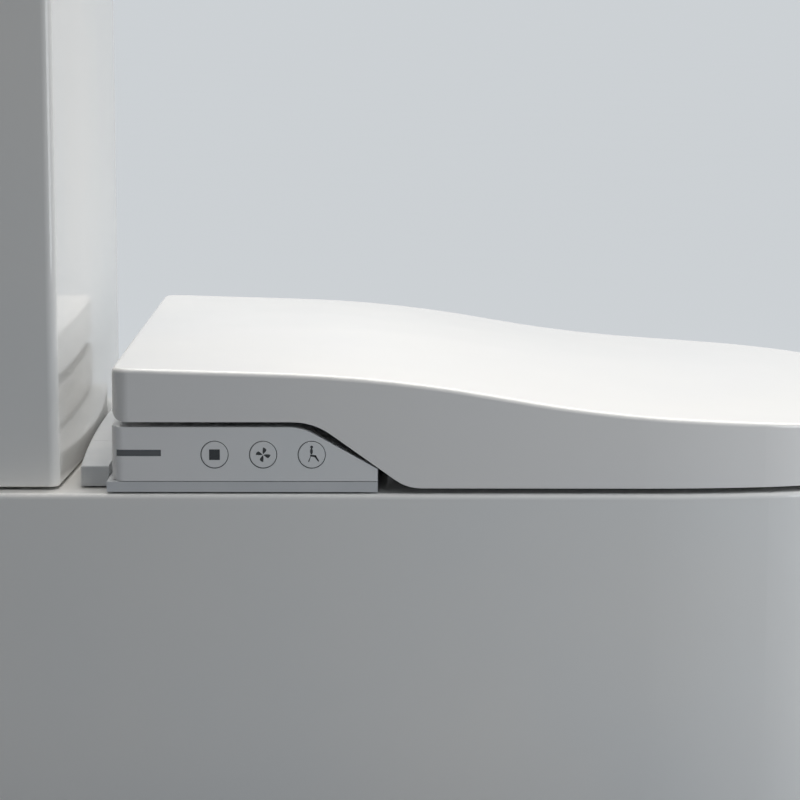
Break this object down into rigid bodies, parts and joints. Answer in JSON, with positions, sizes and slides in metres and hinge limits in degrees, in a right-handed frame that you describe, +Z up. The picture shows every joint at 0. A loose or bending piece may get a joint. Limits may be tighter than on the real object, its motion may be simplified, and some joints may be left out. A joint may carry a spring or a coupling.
{
  "type": "smart toilet",
  "caption": "Back-to-wall toilet with close-coupled cistern and a slim washing unit: hinged heated seat, hinged lid, side buttons, spray nozzle, dryer.",
  "frame": {"origin": "on the floor, in the middle of the whole object's box", "axes": "+Z up, -Y the way the user faces, +X to the user's left"},
  "size_m": [0.372, 0.6941, 0.78],
  "materials": {
    "glazed_china": "gloss",
    "lid_plastic": "gloss",
    "housing_plastic": "satin gloss",
    "base_plastic": "satin",
    "clear_window": "smoked",
    "rubber": "matte",
    "grey_rubber": "matte",
    "foam": "foam",
    "zinc_steel": "zinc plated",
    "brass": "machined",
    "chrome": "polished",
    "black_plastic": "moulded",
    "valve_plastic": "moulded",
    "circuit_board": "solder mask",
    "heating_foil": "foil",
    "steel": "ground"
  },
  "bodies": {
    "pan_and_cistern": {"base_plate": "base_plastic", "base_plate_bolts": "steel", "base_plate_bushes": "rubber", "base_plate_nuts": "black_plastic", "base_plate_pads": "rubber", "cistern": "glazed_china", "cistern_bolts": "brass", "cistern_gasket": "foam", "cistern_lock_nuts": "valve_plastic", "cistern_washers": "rubber", "connection_cover": "base_plastic", "fill_valve": "valve_plastic", "fixing_caps": "chrome", "floor_brackets": "zinc_steel", "flush_valve_body": "valve_plastic", "pan": "glazed_china", "pan_bowl": "glazed_china", "pan_fixing_screws": "zinc_steel", "pan_waterways": "glazed_china", "rear_trim": "base_plastic"},
    "unit": {"housing_base": "housing_plastic", "housing_cover": "housing_plastic", "side_panel_right": "housing_plastic", "side_panel_left": "housing_plastic", "indicator_window": "clear_window", "circuit_boards": "circuit_board", "power_supply": "black_plastic", "water_heater": "black_plastic", "inlet_valve": "valve_plastic", "water_inlet": "brass", "power_gland": "black_plastic", "blower_housing": "black_plastic", "air_duct": "black_plastic", "nozzle_guide": "valve_plastic", "nozzle_motor": "steel", "presence_sensor": "clear_window", "hinge_dampers": "black_plastic"},
    "seat": {"seat_top": "lid_plastic", "seat_bottom": "lid_plastic", "seat_heater": "heating_foil", "seat_hinge_pin": "steel", "seat_bumpers": "grey_rubber"},
    "lid": {"lid_shell": "lid_plastic", "lid_bumpers": "grey_rubber", "lid_hinge_pin": "steel"},
    "stop_key": {"button_stop": "housing_plastic"},
    "dry_key": {"button_dry": "housing_plastic"},
    "wash_key": {"button_wash": "housing_plastic"},
    "release_key": {"release_button": "housing_plastic"},
    "nozzle": {"nozzle_arm": "housing_plastic", "nozzle_tip": "housing_plastic"},
    "impeller": {"blower_impeller": "black_plastic"},
    "flap": {"dryer_flap": "housing_plastic"},
    "tank_lid": {"cistern_lid": "glazed_china", "flush_bezel": "chrome"},
    "full_flush_key": {"flush_button_full": "chrome"},
    "half_flush_key": {"flush_button_half": "chrome"},
    "flush_valve": {"flush_valve_tube": "valve_plastic", "flush_valve_seal": "rubber"},
    "float": {"fill_valve_float": "black_plastic"}
  },
  "joints": [
    {"name": "unit_release", "type": "slide", "parent": "pan_and_cistern", "child": "unit", "axis": [0, -1, 0], "range_m": [0, 0.045]},
    {"name": "seat_hinge", "type": "hinge", "parent": "unit", "child": "seat", "pos_m": [0, 0.145, 0.4575], "axis": [-1, 0, 0], "range_deg": [0, 92]},
    {"name": "lid_hinge", "type": "hinge", "parent": "seat", "child": "lid", "pos_m": [0, 0.145, 0.4575], "axis": [1, 0, 0], "range_deg": [-97, 0]},
    {"name": "stop_press", "type": "slide", "parent": "unit", "child": "stop_key", "axis": [1, 0, 0], "range_m": [0, 0.001], "stiffness_N_per_m": 400},
    {"name": "dry_press", "type": "slide", "parent": "unit", "child": "dry_key", "axis": [1, 0, 0], "range_m": [0, 0.001], "stiffness_N_per_m": 400},
    {"name": "wash_press", "type": "slide", "parent": "unit", "child": "wash_key", "axis": [1, 0, 0], "range_m": [0, 0.001], "stiffness_N_per_m": 400},
    {"name": "release_press", "type": "slide", "parent": "unit", "child": "release_key", "axis": [-1, 0, 0], "range_m": [0, 0.003], "stiffness_N_per_m": 400},
    {"name": "nozzle_extend", "type": "slide", "parent": "unit", "child": "nozzle", "axis": [0, -0.9511, -0.309], "range_m": [0, 0.1]},
    {"name": "flap_swing", "type": "hinge", "parent": "unit", "child": "flap", "pos_m": [-0.038, 0.00575, 0.41975], "axis": [-1, 0, 0], "range_deg": [0, 65]},
    {"name": "impeller_spin", "type": "hinge", "parent": "unit", "child": "impeller", "pos_m": [-0.088, 0.081, 0.425], "axis": [0, 0, 1], "continuous": true},
    {"name": "tank_lid_lift", "type": "slide", "parent": "pan_and_cistern", "child": "tank_lid", "axis": [0, 0, 1], "range_m": [0, 0.06]},
    {"name": "full_flush_press", "type": "slide", "parent": "tank_lid", "child": "full_flush_key", "axis": [0, 0, -1], "range_m": [0, 0.006], "stiffness_N_per_m": 500, "springref_m": -0.002},
    {"name": "half_flush_press", "type": "slide", "parent": "tank_lid", "child": "half_flush_key", "axis": [0, 0, -1], "range_m": [0, 0.006], "stiffness_N_per_m": 500, "springref_m": -0.002},
    {"name": "flush_valve_lift", "type": "slide", "parent": "pan_and_cistern", "child": "flush_valve", "axis": [0, 0, 1], "range_m": [0, 0.025]},
    {"name": "float_rise", "type": "slide", "parent": "pan_and_cistern", "child": "float", "axis": [0, 0, 1], "range_m": [0, 0.04]}
  ],
  "couplings": [
    {"joint": "flush_valve_lift", "follows": "full_flush_press", "ratio": 4.1667}
  ]
}
